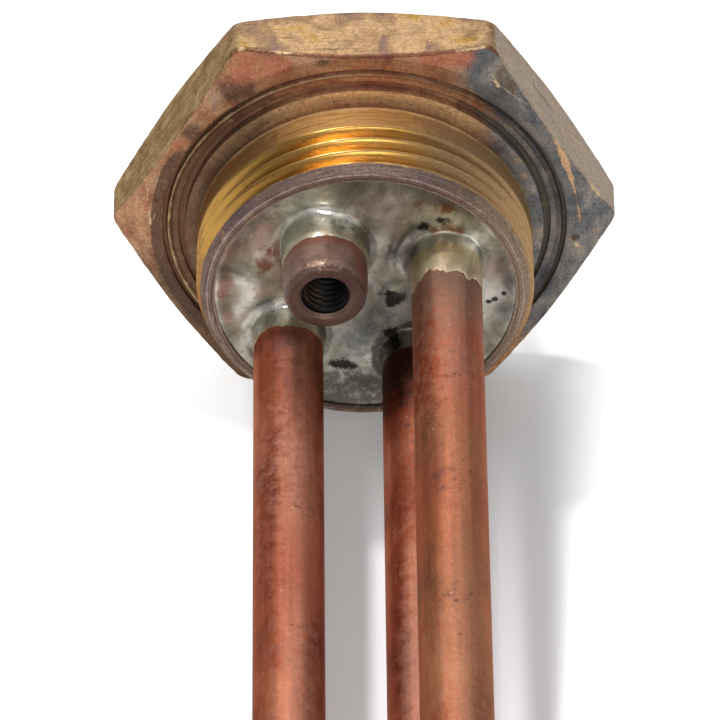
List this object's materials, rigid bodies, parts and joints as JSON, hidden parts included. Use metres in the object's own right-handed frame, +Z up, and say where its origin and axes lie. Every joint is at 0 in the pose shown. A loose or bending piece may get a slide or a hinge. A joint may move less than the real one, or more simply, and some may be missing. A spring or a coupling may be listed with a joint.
{
  "type": "screw plug immersion heater",
  "caption": "Hexagon brass screw plug with a pipe thread carrying a copper hairpin heating element, a thermostat pocket tube and a threaded anode boss, soldered in; heats water in a tank.",
  "frame": {"origin": "centre of the sealing face of the hexagon head, on the axis of the pipe thread", "axes": "-Y along the plug axis from the head towards the tubes, +Z up, so that the heater lies on a flat of its head, +X to the right seen from the tube end"},
  "size_m": [0.0628, 0.301, 0.055],
  "materials": {
    "brass": "turned and used, heat tinted",
    "oxidised_copper": "dull oxide",
    "copper": "drawn tube, tarnished",
    "solder": "flowed tin solder",
    "magnesia": "compacted powder",
    "resistance_wire": "drawn wire",
    "steel": "plated",
    "resin": "cast",
    "ceramic": "fired, unglazed",
    "tab_brass": "stamped"
  },
  "bodies": {
    "root": {"screw_plug": "brass", "anode_boss": "oxidised_copper", "element_sheath": "copper", "pocket_tube": "copper", "solder_pool": "solder", "magnesia_fill": "magnesia", "resistance_coil": "resistance_wire", "terminal_pin_left": "steel", "terminal_pin_right": "steel", "end_seal_left": "resin", "end_seal_right": "resin", "ceramic_bead_left": "ceramic", "ceramic_bead_right": "ceramic", "terminal_tab_left": "steel", "terminal_tab_right": "steel", "earth_tab": "tab_brass", "earth_lock_washer": "steel", "earth_screw": "steel"}
  },
  "joints": []
}
